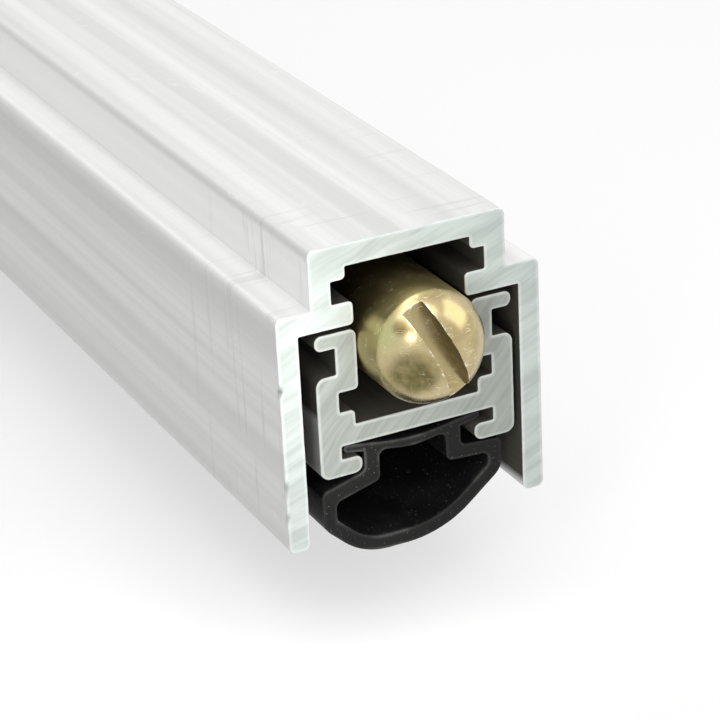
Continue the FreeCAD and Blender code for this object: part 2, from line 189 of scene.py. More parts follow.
# %% Stage
def seen_directly(tree):
    """One for camera, glossy and transmission rays, otherwise nought."""
    rays = add_node(tree, "ShaderNodeLightPath").outputs
    seen = sum_of(tree, "ADD", rays["Is Camera Ray"], rays["Is Glossy Ray"])
    return sum_of(tree, "ADD", seen, rays["Is Transmission Ray"], clamp=True)


def add_world(ambient):
    world = bpy.data.worlds.new("white_room")
    world.use_nodes = True
    bpy.context.scene.world = world
    tree = world.node_tree
    strength = ramp(tree, seen_directly(tree), 0, 1, ambient, 1.0)
    tree.links.new(strength, tree.nodes["Background"].inputs["Strength"])
    tree.nodes["Background"].inputs["Color"].default_value = (1, 1, 1, 1)


def add_floor(height):
    mesh = bpy.data.meshes.new("floor")
    reach = 3.0
    corners = [(x * reach, y * reach, height) for x, y in ((-1, -1), (1, -1), (1, 1), (-1, 1))]
    mesh.from_pydata(corners, [], [(0, 1, 2, 3)])
    floor = bpy.data.objects.new("floor", mesh)
    bpy.context.scene.collection.objects.link(floor)
    material, tree, shader, place = start_material("floor_white")
    shader.inputs["Base Color"].default_value = (0.45, 0.45, 0.45, 1)
    shader.inputs["Roughness"].default_value = 0.9
    shader.inputs["Specular IOR Level"].default_value = 0.1
    shader.inputs["Emission Color"].default_value = (1, 1, 1, 1)
    away = add_node(tree, "ShaderNodeVectorMath", {0: place}, operation="LENGTH").outputs["Value"]
    glow = sum_of(tree, "MULTIPLY", seen_directly(tree), ramp(tree, away, 0.25, 0.9, 0.55, 0.96))
    tree.links.new(glow, shader.inputs["Emission Strength"])
    mesh.materials.append(material)
    floor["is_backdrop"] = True
    return floor


def add_lamp(name, place, target, size, watts):
    light = bpy.data.lights.new(name, "AREA")
    light.shape = "RECTANGLE"
    light.size, light.size_y = size
    light.energy = watts
    lamp = bpy.data.objects.new(name, light)
    lamp.location = place
    lamp.rotation_euler = (Vector(target) - Vector(place)).to_track_quat("-Z", "Y").to_euler()
    lamp.visible_camera = False
    bpy.context.scene.collection.objects.link(lamp)
    return lamp


DROP = 0.008
AMBIENT = 0.44
add_world(AMBIENT)
floor = add_floor(solid_low.z - DROP)
MIDDLE = (0.15, 0, -0.01)
DOME = (0.168, 0, -0.0075)
NEAR_END = (0.165, 0, -0.01)
add_lamp("overhead_softbox", (0.27, -0.12, 0.47), NEAR_END, (0.6, 0.5), 1.55)
add_lamp("right_softbox", (0.27, 0.45, 0.32), MIDDLE, (0.38, 0.38), 0.68)
back = add_lamp("back_card", (-0.13, -0.036, 0.51), DOME, (0.24, 0.17), 0.65)
back.visible_diffuse = False
add_lamp("left_card", (0.46, -0.325, 0.237), DOME, (0.1, 0.1), 0.24)
front = add_lamp("front_card", (0.182, -0.0065, -0.0085), (0.165, -0.0095, -0.010), (0.006, 0.018), 0.0060)
front.visible_glossy = False
print("floor at", round(floor.data.vertices[0].co.z, 5), "m")

# %% [markdown]
# ## Shared finishes
# Drawn metal has fine streaks along it, handled metal has hair scratches, and sawn ends have slanting
# marks. Each is a node group that gives a mask, so that every metal can use it with its own values.

# %% Shared finishes
def make_streaks():
    """Streaks along X, fine and broad."""
    tree, source, result = start_group(
        "lengthwise_streaks",
        [("Place", "NodeSocketVector", None)],
        [("Fine", "NodeSocketFloat"), ("Broad", "NodeSocketFloat")],
    )
    tree.links.new(grain(tree, stretched(tree, source["Place"], (9, 5200, 5200)), detail=3.0), result["Fine"])
    tree.links.new(grain(tree, stretched(tree, source["Place"], (4, 330, 330)), detail=3.0), result["Broad"])
    return tree


def make_hair_scratches():
    """Broken hair lines: where two slow noises cross their middle value."""
    tree, source, result = start_group(
        "hair_scratches",
        [("Place", "NodeSocketVector", None), ("Scale", "NodeSocketFloat", 300.0), ("Width", "NodeSocketFloat", 0.006)],
        [("Mask", "NodeSocketFloat")],
    )
    lines = []
    for turn, shift in (((20, 35, 10), 0.0), ((-40, 15, 70), 0.37)):
        place = stretched(tree, source["Place"], (1.0, 0.28, 1.0), turn)
        inputs = {"Vector": place, "Scale": source["Scale"], "Detail": 1.0, "W": shift}
        wave = add_node(tree, "ShaderNodeTexNoise", inputs, noise_dimensions="4D").outputs[0]
        off = sum_of(tree, "SUBTRACT", wave, 0.5)
        off = add_node(tree, "ShaderNodeMath", {0: off}, operation="ABSOLUTE").outputs[0]
        near = sum_of(tree, "DIVIDE", off, source["Width"])
        lines.append(ramp(tree, near, 1.0, 0.2))
    both = sum_of(tree, "MAXIMUM", lines[0], lines[1])
    breaks = ramp(tree, grain(tree, source["Place"], 900.0), 0.5, 0.62)
    tree.links.new(sum_of(tree, "MULTIPLY", both, breaks), result["Mask"])
    return tree


def make_saw_marks():
    """Slanting marks across an end face, and a mask of the end faces."""
    vector, number = "NodeSocketVector", "NodeSocketFloat"
    tree, source, result = start_group(
        "saw_marks",
        [("Place", vector, None), ("End", number, 0.165), ("Slant", vector, (0, 0, 0))],
        [("Face", number), ("Marks", number), ("Cloud", number)],
    )
    split = add_node(tree, "ShaderNodeSeparateXYZ", {0: source["Place"]}).outputs
    reach = add_node(tree, "ShaderNodeMath", {0: split[0]}, operation="ABSOLUTE").outputs[0]
    inside = sum_of(tree, "SUBTRACT", source["End"], reach)
    tree.links.new(ramp(tree, inside, 0.00016, 0.00004), result["Face"])
    turned = add_node(tree, "ShaderNodeMapping", {"Vector": source["Place"], "Rotation": source["Slant"]}).outputs[0]
    bent = add_node(tree, "ShaderNodeTexNoise", {"Vector": source["Place"], "Scale": 180.0, "Detail": 1.0}).outputs[1]
    bent = add_node(tree, "ShaderNodeVectorMath", {0: bent, 1: (0, 0, 0.0012)}, operation="MULTIPLY").outputs[0]
    turned = add_node(tree, "ShaderNodeVectorMath", {0: turned, 1: bent}, operation="ADD").outputs[0]
    fine = grain(tree, stretched(tree, turned, (1, 220, 3600)), detail=3.0, roughness=0.6)
    coarse = grain(tree, stretched(tree, turned, (1, 130, 1100)), detail=2.0)
    marks = add_node(tree, "ShaderNodeMix", {0: 0.62, 2: fine, 3: coarse}).outputs[0]
    tree.links.new(marks, result["Marks"])
    tree.links.new(grain(tree, source["Place"], 260.0, 3.0), result["Cloud"])
    return tree


streaks = make_streaks()
hair_scratches = make_hair_scratches()
saw_marks = make_saw_marks()
print("shared finishes:", [g.name for g in (streaks, hair_scratches, saw_marks)])

# %% [markdown]
# ## Aluminium
# The housing and the drop bar are extrusions with a plain mill finish. Their sides are streaked along
# their length, with painted light on the head's sides and shoulders. Their sawn ends are paler with slanting
# marks and bright rims, partly a painted highlight, and have painted shade in their nicks. The channel is
# rough, and its walls are painted dark as shade.

# %% Aluminium
def shade(colour, share=1.0):
    """A colour taken lighter or darker, with its alpha."""
    return [min(1.0, c * share) for c in colour] + [1]


def make_aluminium(name, side_colour, cut_colour, slant):
    material, tree, shader, place = start_material(name)
    streak = use_group(tree, streaks, {"Place": place})
    scratch = use_group(tree, hair_scratches, {"Place": place, "Scale": 160.0, "Width": 0.004})["Mask"]
    saw = use_group(tree, saw_marks, {"Place": place, "Slant": [math.radians(slant), 0, 0]})
    rim = add_node(tree, "ShaderNodeAttribute", attribute_name="rim").outputs["Fac"]
    inside = add_node(tree, "ShaderNodeAttribute", attribute_name="inside").outputs["Fac"]

    fine = ramp(tree, streak["Fine"], 0.3, 0.7)
    side = mix_colour(tree, fine, shade(side_colour, 0.965), shade(side_colour, 1.035))
    side = mix_colour(tree, ramp(tree, streak["Broad"], 0.34, 0.64, 0.0, 0.9), side, shade(side_colour, 0.80))
    split = add_node(tree, "ShaderNodeSeparateXYZ", {0: place}).outputs
    # Painted light: the head's sides and shoulders are lighter, as light falls on them there.
    head_light_band = sum_of(tree, "SUBTRACT", ramp(tree, split[2], -0.00455, -0.0039), ramp(tree, split[2], -0.0010, -0.0003))
    side = mix_colour(tree, head_light_band, side, mix_colour(tree, 0.6, side, (0.95, 0.952, 0.945, 1)))
    scuff = ramp(tree, grain(tree, stretched(tree, place, (1500, 60, 90)), detail=2.0), 0.58, 0.70)
    scuff = sum_of(tree, "MULTIPLY", scuff, ramp(tree, split[0], 0.140, 0.162, 0.0, 0.45))
    side = mix_colour(tree, scuff, side, shade(side_colour, 0.72))
    side = mix_colour(tree, sum_of(tree, "MULTIPLY", scratch, 0.15), side, (0.95, 0.95, 0.95, 1))
    # Painted shade: the channel's walls are dark.
    side = mix_colour(tree, inside, side, (0.06, 0.058, 0.048, 1))
    cut = mix_colour(tree, ramp(tree, saw["Marks"], 0.36, 0.64), shade(cut_colour, 0.76), shade(cut_colour))
    cut = mix_colour(tree, ramp(tree, saw["Cloud"], 0.35, 0.7, 0.0, 0.3), cut, shade(cut_colour, 0.86))
    # Painted highlight along the sawn rim.
    cut = mix_colour(tree, sum_of(tree, "MULTIPLY", rim, 0.3), cut, (0.93, 0.95, 0.94, 1))
    # Painted shade in the deep nicks of the sawn rim.
    nick_shade = add_node(tree, "ShaderNodeAttribute", attribute_name="nick_shade").outputs["Fac"]
    colour = mix_colour(tree, saw["Face"], side, cut)
    colour = mix_colour(tree, sum_of(tree, "MULTIPLY", nick_shade, 0.75), colour, (0.12, 0.12, 0.11, 1))
    tree.links.new(colour, shader.inputs["Base Color"])

    rough_side = ramp(tree, streak["Fine"], 0.25, 0.75, 0.54, 0.66)
    rough_side = sum_of(tree, "ADD", rough_side, sum_of(tree, "MULTIPLY", inside, 0.3))
    rough_cut = ramp(tree, saw["Marks"], 0.3, 0.7, 0.50, 0.36)
    rough = add_node(tree, "ShaderNodeMix", {0: saw["Face"], 2: rough_side, 3: rough_cut}).outputs[0]
    tree.links.new(rough, shader.inputs["Roughness"])
    metallic = ramp(tree, inside, 0, 1, 0.5, 0.4)
    tree.links.new(metallic, shader.inputs["Metallic"])

    height_side = sum_of(tree, "SUBTRACT", sum_of(tree, "MULTIPLY", streak["Fine"], 0.5), scratch)
    height = add_node(tree, "ShaderNodeMix", {0: saw["Face"], 2: height_side, 3: saw["Marks"]}).outputs[0]
    bump = add_node(tree, "ShaderNodeBump", {"Height": height, "Strength": 0.35, "Distance": 0.00003}).outputs[0]
    tree.links.new(bump, shader.inputs["Normal"])
    return material


housing_aluminium = make_aluminium("housing_aluminium", (0.755, 0.757, 0.75), (0.58, 0.635, 0.60), -23)
bar_aluminium = make_aluminium("drop_bar_aluminium", (0.60, 0.605, 0.59), (0.36, 0.385, 0.35), -48)
print("aluminium:", housing_aluminium.name, bar_aluminium.name)

# %% [markdown]
# ## Brass, rubber, steel and zinc
# The plunger is polished brass with hair scratches and brown tarnish on its barrel. Its dome has painted
# reflections, green and dark patches, and painted shade darkens the barrel towards the back and the slot's
# walls. The seal is matt black rubber, a little dusty. The hidden gear is zinc-plated steel and plain zinc castings.

# %% Brass, rubber, steel and zinc
def near_point(tree, place, centre, inner, outer):
    """Soft round mask about a point of the piece."""
    away = add_node(tree, "ShaderNodeVectorMath", {0: place, 1: centre}, operation="DISTANCE").outputs["Value"]
    return ramp(tree, away, outer, inner)


def make_brass():
    material, tree, shader, place = start_material("polished_brass")
    scratch = use_group(tree, hair_scratches, {"Place": place, "Scale": 1500.0, "Width": 0.009})["Mask"]
    split = add_node(tree, "ShaderNodeSeparateXYZ", {0: place}).outputs
    barrel = ramp(tree, split[0], 0.1682, 0.1675)
    recess_shade = ramp(tree, split[0], 0.1670, 0.1600)
    slot = add_node(tree, "ShaderNodeAttribute", attribute_name="slot").outputs["Fac"]
    worn = add_node(tree, "ShaderNodeAttribute", attribute_name="worn").outputs["Fac"]
    cloud = grain(tree, place, 420.0, 4.0, 0.6)
    blotch = grain(tree, place, 900.0, 3.0, 0.6)
    turning = grain(tree, stretched(tree, place, (7000, 90, 90)), detail=2.0)

    tint = mix_colour(tree, ramp(tree, cloud, 0.35, 0.65), (0.45, 0.365, 0.175, 1), (0.56, 0.46, 0.265, 1))
    # Painted reflection: a green patch on the dome's upper left, near its rim.
    green_reflection = near_point(tree, place, (0.16797, -0.00352, -0.0056), 0.0004, 0.0019)
    tint = mix_colour(tree, sum_of(tree, "MULTIPLY", green_reflection, 0.8), tint, (0.50, 0.51, 0.25, 1))
    # Painted reflection: a dark patch on the lower left of the dome, which is also rougher.
    dark_reflection_patch = near_point(tree, place, (0.1700, -0.0025, -0.0083), 0.0010, 0.0023)
    dark_reflection_patch = sum_of(tree, "MULTIPLY", dark_reflection_patch, ramp(tree, blotch, 0.25, 0.6, 0.55, 1.0))
    tint = mix_colour(tree, sum_of(tree, "MULTIPLY", dark_reflection_patch, 0.95), tint, (0.13, 0.115, 0.042, 1))
    # Painted reflection: a dark brown spot on the upper left of the dome.
    dark_reflection_spot = near_point(tree, place, (0.16876, -0.00268, -0.00509), 0.0002, 0.0008)
    tint = mix_colour(tree, sum_of(tree, "MULTIPLY", dark_reflection_spot, 0.75), tint, (0.15, 0.10, 0.035, 1))
    tarnish = sum_of(tree, "MULTIPLY", barrel, ramp(tree, turning, 0.3, 0.7, 0.4, 0.9))
    tint = mix_colour(tree, tarnish, tint, (0.46, 0.375, 0.15, 1))
    # Painted shade: the barrel darkens towards the back, deeper in the housing.
    tint = mix_colour(tree, sum_of(tree, "MULTIPLY", recess_shade, 0.5), tint, (0.22, 0.16, 0.07, 1))
    # Dirt and painted shade: the slot's walls are darker than its floor.
    grime_and_shade = sum_of(tree, "MULTIPLY", slot, ramp(tree, blotch, 0.3, 0.7, 1.0, 0.75))
    tint = mix_colour(tree, grime_and_shade, tint, (0.105, 0.068, 0.016, 1))
    scored = sum_of(tree, "MULTIPLY", scratch, ramp(tree, barrel, 0, 1, 0.45, 0.9))
    tint = mix_colour(tree, scored, tint, (0.98, 0.88, 0.60, 1))
    bright = sum_of(tree, "MULTIPLY", worn, ramp(tree, grain(tree, place, 2600.0), 0.5, 0.62))
    tint = mix_colour(tree, bright, tint, (0.98, 0.94, 0.80, 1))
    tree.links.new(tint, shader.inputs["Base Color"])
    shader.inputs["Metallic"].default_value = 1.0

    rough = sum_of(tree, "ADD", ramp(tree, cloud, 0.3, 0.7, 0.20, 0.28), sum_of(tree, "MULTIPLY", barrel, 0.16))
    rough = sum_of(tree, "ADD", rough, sum_of(tree, "MULTIPLY", slot, 0.15))
    rough = sum_of(tree, "ADD", rough, sum_of(tree, "MULTIPLY", dark_reflection_patch, 0.12))
    tree.links.new(rough, shader.inputs["Roughness"])
    height = sum_of(tree, "ADD", sum_of(tree, "MULTIPLY", turning, 0.25), sum_of(tree, "MULTIPLY", blotch, 0.5))
    height = sum_of(tree, "SUBTRACT", height, scratch)
    bump = add_node(tree, "ShaderNodeBump", {"Height": height, "Strength": 0.3, "Distance": 0.00002}).outputs[0]
    tree.links.new(bump, shader.inputs["Normal"])
    return material


def make_rubber():
    material, tree, shader, place = start_material("black_rubber")
    rim = add_node(tree, "ShaderNodeAttribute", attribute_name="rim").outputs["Fac"]
    end = (END - SEAL_INSET) * MM
    saw = use_group(tree, saw_marks, {"Place": place, "End": end, "Slant": [math.radians(-35), 0, 0]})
    speck = ramp(tree, grain(tree, place, 5200.0, 2.0), 0.66, 0.74)
    bloom = ramp(tree, grain(tree, place, 350.0, 4.0), 0.4, 0.75, 0.0, 0.5)
    tint = mix_colour(tree, bloom, (0.004, 0.004, 0.0045, 1), (0.011, 0.011, 0.0115, 1))
    cut = mix_colour(tree, bloom, (0.007, 0.0075, 0.007, 1), (0.017, 0.018, 0.0165, 1))
    tint = mix_colour(tree, saw["Face"], tint, cut)
    pale_rim = sum_of(tree, "MULTIPLY", rim, ramp(tree, bloom, 0.0, 0.5, 0.15, 0.8))
    tint = mix_colour(tree, pale_rim, tint, (0.075, 0.075, 0.07, 1))
    tint = mix_colour(tree, sum_of(tree, "MULTIPLY", speck, 0.5), tint, (0.16, 0.16, 0.155, 1))
    tree.links.new(tint, shader.inputs["Base Color"])
    tree.links.new(ramp(tree, bloom, 0.0, 0.5, 0.52, 0.7), shader.inputs["Roughness"])
    shader.inputs["Specular IOR Level"].default_value = 0.16
    pores = sum_of(tree, "ADD", grain(tree, place, 4200.0, 3.0), sum_of(tree, "MULTIPLY", saw["Marks"], saw["Face"]))
    bump = add_node(tree, "ShaderNodeBump", {"Height": pores, "Strength": 0.3, "Distance": 0.00003}).outputs[0]
    tree.links.new(bump, shader.inputs["Normal"])
    return material


def make_hidden_metal(name, base, spread, roughness, lump):
    """Plated or cast metal for the gear inside, with clouds, scratches and a fine skin."""
    material, tree, shader, place = start_material(name)
    scratch = use_group(tree, hair_scratches, {"Place": place, "Scale": 350.0, "Width": 0.008})["Mask"]
    cloud = grain(tree, place, 500.0, 4.0, 0.6)
    tint = mix_colour(tree, ramp(tree, cloud, 0.3, 0.7), shade(base, 1 - spread), shade(base))
    tint = mix_colour(tree, sum_of(tree, "MULTIPLY", scratch, 0.5), tint, (0.9, 0.9, 0.9, 1))
    tree.links.new(tint, shader.inputs["Base Color"])
    shader.inputs["Metallic"].default_value = 1.0
    tree.links.new(ramp(tree, cloud, 0.3, 0.7, roughness + 0.1, roughness), shader.inputs["Roughness"])
    height = sum_of(tree, "SUBTRACT", grain(tree, place, lump, 3.0), scratch)
    bump = add_node(tree, "ShaderNodeBump", {"Height": height, "Strength": 0.3, "Distance": 0.00003}).outputs[0]
    tree.links.new(bump, shader.inputs["Normal"])
    return material


brass = make_brass()
rubber = make_rubber()
plated_steel = make_hidden_metal("plated_steel", (0.53, 0.535, 0.54), 0.15, 0.30, 3000.0)
zinc = make_hidden_metal("zinc_casting", (0.47, 0.475, 0.48), 0.2, 0.42, 1500.0)
print("materials:", len(bpy.data.materials))

# %% [markdown]
# ## Sections
# An extrusion is one outline pushed along its length. The outline is a list of corners with radii in
# millimetres, and each corner is turned by an arc. Fine arcs keep the rounded edges smooth close up.

# %% Sections
HOUSING_HALF = [
    (7.42, 0, 0.5), (7.42, -4.3, 0.12), (10, -4.3, 0.5), (10, -21.9, 0.5),
    (8.4, -21.9, 0.5), (8.4, -5.9, 0.12), (4.25, -5.9, 0.35), (4.25, -4.2, 0.35),
    (5.82, -4.2, 0.12), (5.82, -2.52, 0.12), (4.72, -2.52, 0.35), (4.72, -1.6, 0.12),
]
BAR_HALF = [
    (4.75, -13.3, 0.12), (4.75, -12.2, 0.35), (5.9, -12.2, 0.12), (5.9, -10.7, 0.12),
    (4.4, -10.7, 0.35), (4.4, -6.25, 0.5), (7.5, -6.25, 0.5), (7.5, -7.35, 0.5),
    (6, -7.35, 0.12), (6, -9.35, 0.12), (7.55, -9.35, 0.7), (7.55, -17, 0.7),
    (4.38, -17, 0.7), (4.38, -15.75, 0.5), (5.9, -15.75, 0.12), (5.9, -14.75, 0.12),
]
BAR_SHIFT = 0.25
SEAL_OUTER = [
    (-5.28, -14.95, 0.3), (0, -15.8, 14), (5.28, -14.95, 0.3), (5.28, -15.55, 0.3),
    (3.76, -15.7947, 0.12), (3.76, -17.3, 0.5), (6.955, -17.5, 0.5), (6.955, -19.9, 1.5),
    (2.15, -23.75, 8), (-4.15, -23.75, 8), (-7.095, -21, 1.5), (-7.095, -18.25, 0.5),
    (-3.76, -17.3, 0.5), (-3.76, -15.7947, 0.12), (-5.28, -15.55, 0.3),
]
SEAL_HOLLOW = [
    (-2.61, -15.9798, 0.5), (0, -16.4, 14), (2.61, -15.9798, 0.5), (2.61, -18.25, 0.5),
    (5.905, -18.45, 0.5), (5.905, -19.3958, 0.45), (1.7812, -22.7, 6.95), (-3.736, -22.7, 6.95),
    (-6.045, -20.5439, 0.45), (-6.045, -19.2, 0.5), (-2.61, -18.25, 0.5),
]


def mirrored(half):
    return half + [(-y, z, radius) for y, z, radius in reversed(half)]


def outline(corners, shift=0.0, arc_steps=7, spacing=0.6):
    """Points of a closed outline in millimetres, with arcs at the corners and straight runs divided."""
    points = []
    count = len(corners)
    tangents = []
    for index, (y, z, radius) in enumerate(corners):
        here = Vector((y + shift, z))
        before = Vector(corners[index - 1][:2]) + Vector((shift, 0)) - here
        after = Vector(corners[(index + 1) % count][:2]) + Vector((shift, 0)) - here
        half_angle = before.angle(after) / 2
        reach = min(radius / math.tan(half_angle), 0.49 * min(before.length, after.length))
        tangents.append((here + before.normalized() * reach, here, here + after.normalized() * reach))
    for index, (start, corner, end) in enumerate(tangents):
        before = tangents[index - 1][2]
        run = (start - before).length
        steps = max(1, round(run / spacing))
        points += [before.lerp(start, step / steps) for step in range(1, steps)]
        to_start, to_end = start - corner, end - corner
        half_angle = to_start.angle(to_end) / 2
        centre = corner + (to_start + to_end).normalized() * (to_start.length / math.cos(half_angle))
        first, last = start - centre, end - centre
        sweep = first.angle(last)
        for step in range(arc_steps + 1):
            share = step / arc_steps
            blended = first * math.sin((1 - share) * sweep) + last * math.sin(share * sweep)
            points.append(centre + blended / max(math.sin(sweep), 1e-6))
    return points


def pushed_in(points, amounts):
    """The outline with each point moved into the material by its own amount."""
    area = sum(a.x * b.y - b.x * a.y for a, b in zip(points, points[1:] + points[:1]))
    side = 1 if area > 0 else -1
    moved = []
    for index, point in enumerate(points):
        along = points[(index + 1) % len(points)] - points[index - 1]
        along.normalize()
        moved.append(point + Vector((-along.y, along.x)) * side * amounts[index])
    return moved


housing_outline = outline(mirrored(HOUSING_HALF))
bar_outline = outline(mirrored(BAR_HALF), BAR_SHIFT)
print("outline points:", len(housing_outline), "housing,", len(bar_outline), "drop bar")

# %% [markdown]
# ## Sawn extrusions
# A sawn end isn't perfectly sharp: its rim is broken by an uneven few hundredths, with nicks where the
# saw tore out. Each end is built from rings. The rim's own attribute lets the aluminium paint a highlight
# on it and the rubber pale it, and another one paints shade into the deep nicks.

# %% Sawn extrusions
def shown(name, bm, material, sharp=32.0):
    """Turns a bmesh into a piece at the origin, smooth but for its real edges."""
    mesh = bpy.data.meshes.new(name)
    bm.to_mesh(mesh)
    bm.free()
    mesh.shade_smooth()
    mesh.set_sharp_from_angle(angle=math.radians(sharp))
    mesh.materials.append(material)
    piece = bpy.data.objects.new(name, mesh)
    bpy.context.scene.collection.objects.link(piece)
    return piece


def rim_amounts(points, size, nicks, seed):
    """How far the rim is broken at each point: uneven, and deeper at the nicks."""
    amounts = []
    for point in points:
        wave = noise.noise(Vector((point.x * 2.3, point.y * 2.3, seed)))
        amount = size * (1 + 0.55 * wave)
        for y, z, width, depth in nicks:
            far = math.hypot(point.x - y, point.y - z) / width
            if far < 1:
                amount += depth * (1 - far)
        amounts.append(amount)
    return amounts


RIM_BAND = 0.22
RIM_LENGTH = 0.35


def sawn_extrusion(name, loops, end, material, wall_shade_at, rim_size=0.05, nicks=()):
    """Solid between two sawn ends. The first loop is the outside, any others are hollows."""
    bm = bmesh.new()
    rim = bm.verts.layers.float.new("rim")
    inside = bm.verts.layers.float.new("inside")
    nick_shade = bm.verts.layers.float.new("nick_shade")
    cap_edges = {-1: [], 1: []}
    for number, loop in enumerate(loops):
        into = 1 if number == 0 else -1
        rings = []
        for way in (-1, 1):
            amounts = rim_amounts(loop, rim_size, nicks if way > 0 else (), way * 3.1)
            inner = pushed_in(loop, [into * (a + RIM_BAND) for a in amounts])
            edge = pushed_in(loop, [into * a for a in amounts])
            side = [(end, inner, 0.0), (end, edge, 1.0), (None, loop, 0.8), (end - RIM_LENGTH, loop, 0.0)]
            made = []
            for x, points, bright in side:
                ring = []
                for index, point in enumerate(points):
                    reach = end - amounts[index] if x is None else x
                    vert = bm.verts.new((way * reach * MM, point.x * MM, point.y * MM))
                    # The rim attribute: a painted highlight on the aluminium's sawn rim, a paler cut edge on the
                    # rubber.
                    vert[rim] = bright
                    # The inside attribute: painted shade on the channel's walls, which are also rougher.
                    vert[inside] = wall_shade_at(point.x, point.y) if x != end else 0.0
                    # This attribute paints shade into the deep nicks of the rim.
                    vert[nick_shade] = min(1.0, max(0.0, amounts[index] / rim_size - 2.0)) if bright else 0.0
                    ring.append(vert)
                made.append(ring)
            rings += made if way < 0 else reversed(made)
            cap_edges[way].append(made[0])
        for first, second in zip(rings, rings[1:]):
            for index in range(len(loop)):
                after = (index + 1) % len(loop)
                bm.faces.new((first[index], first[after], second[after], second[index]))
    for way in (-1, 1):
        if len(loops) == 1:
            bm.faces.new(cap_edges[way][0])
        else:
            edges = []
            for ring in cap_edges[way]:
                edges += [bm.edges.get((ring[i - 1], ring[i])) for i in range(len(ring))]
            bmesh.ops.triangle_fill(bm, use_beauty=True, use_dissolve=False, edges=edges)
    bmesh.ops.recalc_face_normals(bm, faces=bm.faces)
    return shown(name, bm, material)


def housing_wall_shade(y, z):
    """One on the channel's walls, where shade is painted and the metal is rougher, nought on the outside."""
    under_top = abs(y) < 7.0 and z < -1.0
    return 1.0 if under_top or (abs(y) < 8.6 and z < -5.5 and z > -21.0) else 0.0


def bar_wall_shade(y, z):
    """Painted shade and roughness all over the bar, but only a little on the lower flanks, which come out when the bar
    drops.
    """
    return 0.15 if abs(y - BAR_SHIFT) > 7.0 and z < -12.0 else 1.0


LEG_NICKS = [(-10, -9.6, 0.35, 0.14), (-10, -15.3, 0.3, 0.10), (-10, -16.5, 0.3, 0.20), (-10, -17.1, 0.25, 0.16),
             (-10, -19.0, 0.3, 0.08), (-10, -6.2, 0.3, 0.07), (-8.4, -20.6, 0.4, 0.07)]
housing = sawn_extrusion(
    "housing_extrusion", [housing_outline], END, housing_aluminium, housing_wall_shade, nicks=LEG_NICKS)
drop_bar = sawn_extrusion("drop_bar_extrusion", [bar_outline], END, bar_aluminium, bar_wall_shade)
seal_loops = [outline(SEAL_OUTER, arc_steps=10), outline(SEAL_HOLLOW, arc_steps=10)]
seal = sawn_extrusion("seal_bulb", seal_loops, END - SEAL_INSET, rubber, lambda y, z: 0.0, rim_size=0.04)
print({piece.name: len(piece.data.polygons) for piece in (housing, drop_bar, seal)})

# %% [markdown]
# ## Screw holes
# Countersunk screws go through the housing's top and the drop bar's web. Their holes are cut with a
# Boolean, because a few plain holes in a long bar need no more than that. Corners that it leaves with
# only two edges are taken out again, so that the mesh stays closed.

# %% Screw holes
def turned(name, profile, centre, axis, material=None, steps=48):
    """Closed solid turned from a profile of (distance along the axis, radius) points, in millimetres."""
    bm = bmesh.new()
    axis = Vector(axis)
    spare = Vector((0, 0, 1)) if abs(axis.z) < 0.5 else Vector((1, 0, 0))
    first = axis.cross(spare).normalized()
    second = axis.cross(first)
    rings = []
    for along, radius in profile:
        middle = (Vector(centre) + axis * along) * MM
        if radius < 1e-6:
            rings.append([bm.verts.new(middle)])
            continue
        ring = []
        for step in range(steps):
            angle = 2 * math.pi * step / steps
            ring.append(bm.verts.new(middle + (first * math.cos(angle) + second * math.sin(angle)) * radius * MM))
        rings.append(ring)
    for low, high in zip(rings, rings[1:]):
        for step in range(steps):
            after = (step + 1) % steps
            corners = [low[step % len(low)], low[after % len(low)], high[after % len(high)], high[step % len(high)]]
            bm.faces.new(list(dict.fromkeys(corners)))
    bmesh.ops.recalc_face_normals(bm, faces=bm.faces)
    return shown(name, bm, material or plated_steel)


def cut_away(piece, cutters):
    """Cuts solids out of a piece and removes them."""
    for cutter in cutters:
        boolean = piece.modifiers.new("cut", "BOOLEAN")
        boolean.operation = "DIFFERENCE"
        boolean.solver = "EXACT"
        boolean.object = cutter
    bpy.context.view_layer.update()
    graph = bpy.context.evaluated_depsgraph_get()
    cut = bpy.data.meshes.new_from_object(piece.evaluated_get(graph), depsgraph=graph)
    piece.modifiers.clear()
    old = piece.data
    piece.data = cut
    cut.name = old.name
    bpy.data.meshes.remove(old)
    for cutter in cutters:
        bpy.data.meshes.remove(cutter.data)
    bm = bmesh.new()
    bm.from_mesh(cut)
    loose = [vert for vert in bm.verts if len(vert.link_edges) == 2]
    bmesh.ops.dissolve_verts(bm, verts=loose)
    bmesh.ops.triangulate(bm, faces=[face for face in bm.faces if len(face.verts) > 4])
    bm.to_mesh(cut)
    bm.free()
    print("loose corners taken out of", piece.name + ":", len(loose))
    return piece


HOLE = [(-1, 0), (-1, 2.85), (0, 2.85), (1.35, 1.5), (3, 1.5), (3, 0)]
WEB_UNDERSIDE = -14.75
TOP_SCREWS = (98.0, 83.1, -66.9)
SHOE_SCREWS = (65.196, 56.596, -84.804, -93.404)
cut_away(housing, [turned("hole", HOLE, (x, 0, 0), (0, 0, -1)) for x in TOP_SCREWS])
cut_away(drop_bar, [turned("hole", HOLE, (x, BAR_SHIFT, WEB_UNDERSIDE), (0, 0, 1)) for x in SHOE_SCREWS])
print("holes:", len(TOP_SCREWS), "in the housing,", len(SHOE_SCREWS), "in the drop bar")

# %% [markdown]
# ## Plunger
# The plunger is turned from bar, domed, and slotted so that a screwdriver can set how far it stands out.
# A turned profile gives the barrel and the dome, and an uneven slab cuts the slot with its nicked edges.

# %% Plunger
PLUNGER_AXIS = -7.55
DOME_BASE = 167.7
DOME_TIP = 170.8
BALL = 4.2613
BARREL = 4.1
SLOT_WIDTH = 1.6
SLOT_FLOOR = DOME_BASE + 0.65
SLOT_TURN = 24.0


